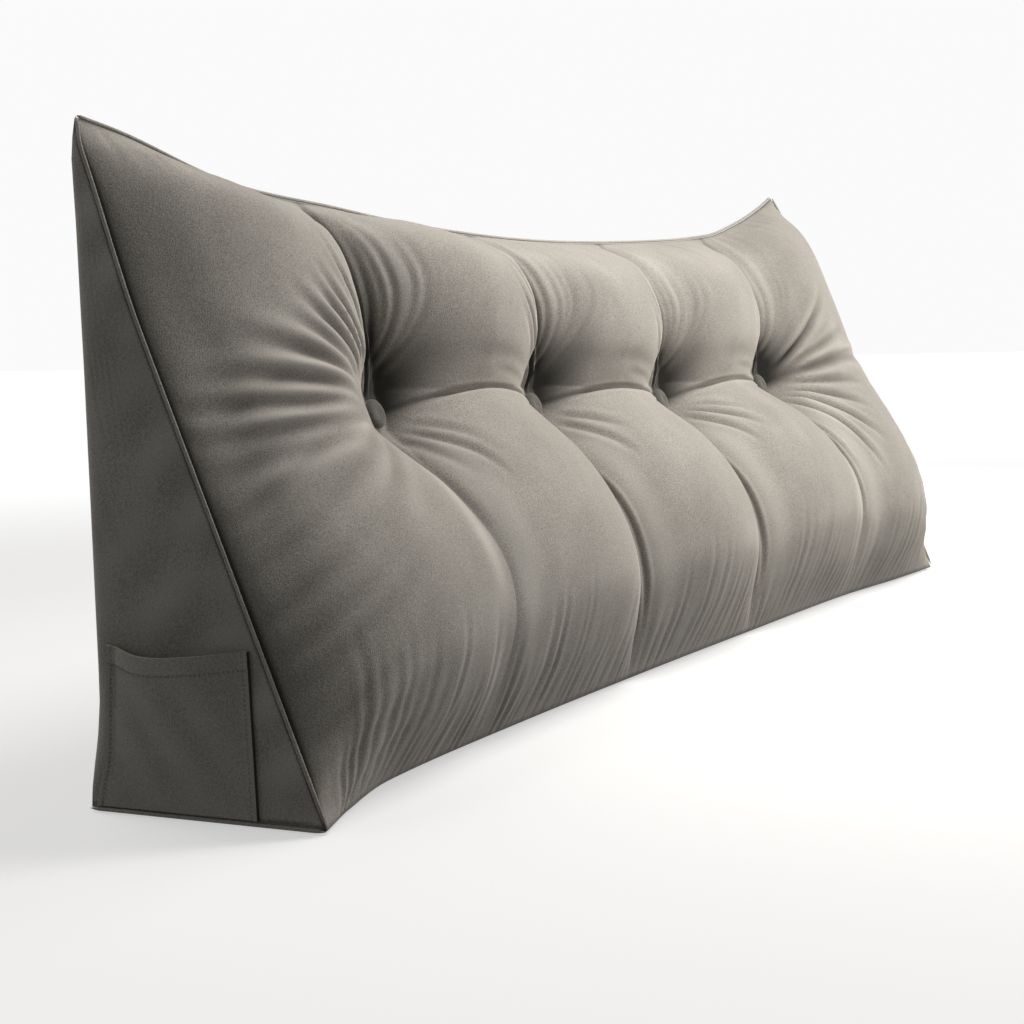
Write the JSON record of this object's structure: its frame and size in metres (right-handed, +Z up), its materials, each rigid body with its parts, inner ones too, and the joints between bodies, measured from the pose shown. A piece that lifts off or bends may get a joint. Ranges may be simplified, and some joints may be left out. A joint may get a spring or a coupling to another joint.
{
  "type": "wedge pillow",
  "caption": "Long filled wedge pillow with a button-tufted slanted front, drawn-out ears, piped seams, a flat base and a patch pocket on one end.",
  "frame": {"origin": "middle of the pillow's box, on the floor", "axes": "+X along the pillow towards the end without the pocket, +Y out of the plain back, so the tufted front faces -Y, +Z up"},
  "size_m": [1.5218, 0.2354, 0.5],
  "materials": {
    "cover": "short-nap velvet, warm grey, matte with a soft sheen",
    "pocket": "short-nap velvet, warm grey, topstitched hem",
    "piping": "velvet-covered cord, nap brushed along the cord",
    "buttons": "velvet stretched over a button, matte"
  },
  "bodies": {
    "root": {"cushion": "cover", "pocket": "pocket", "piping_top": "piping", "piping_slant_left": "piping", "piping_base_left": "piping", "piping_slant_right": "piping", "piping_base_right": "piping", "button_1": "buttons", "button_2": "buttons", "button_3": "buttons", "button_4": "buttons"}
  },
  "joints": []
}
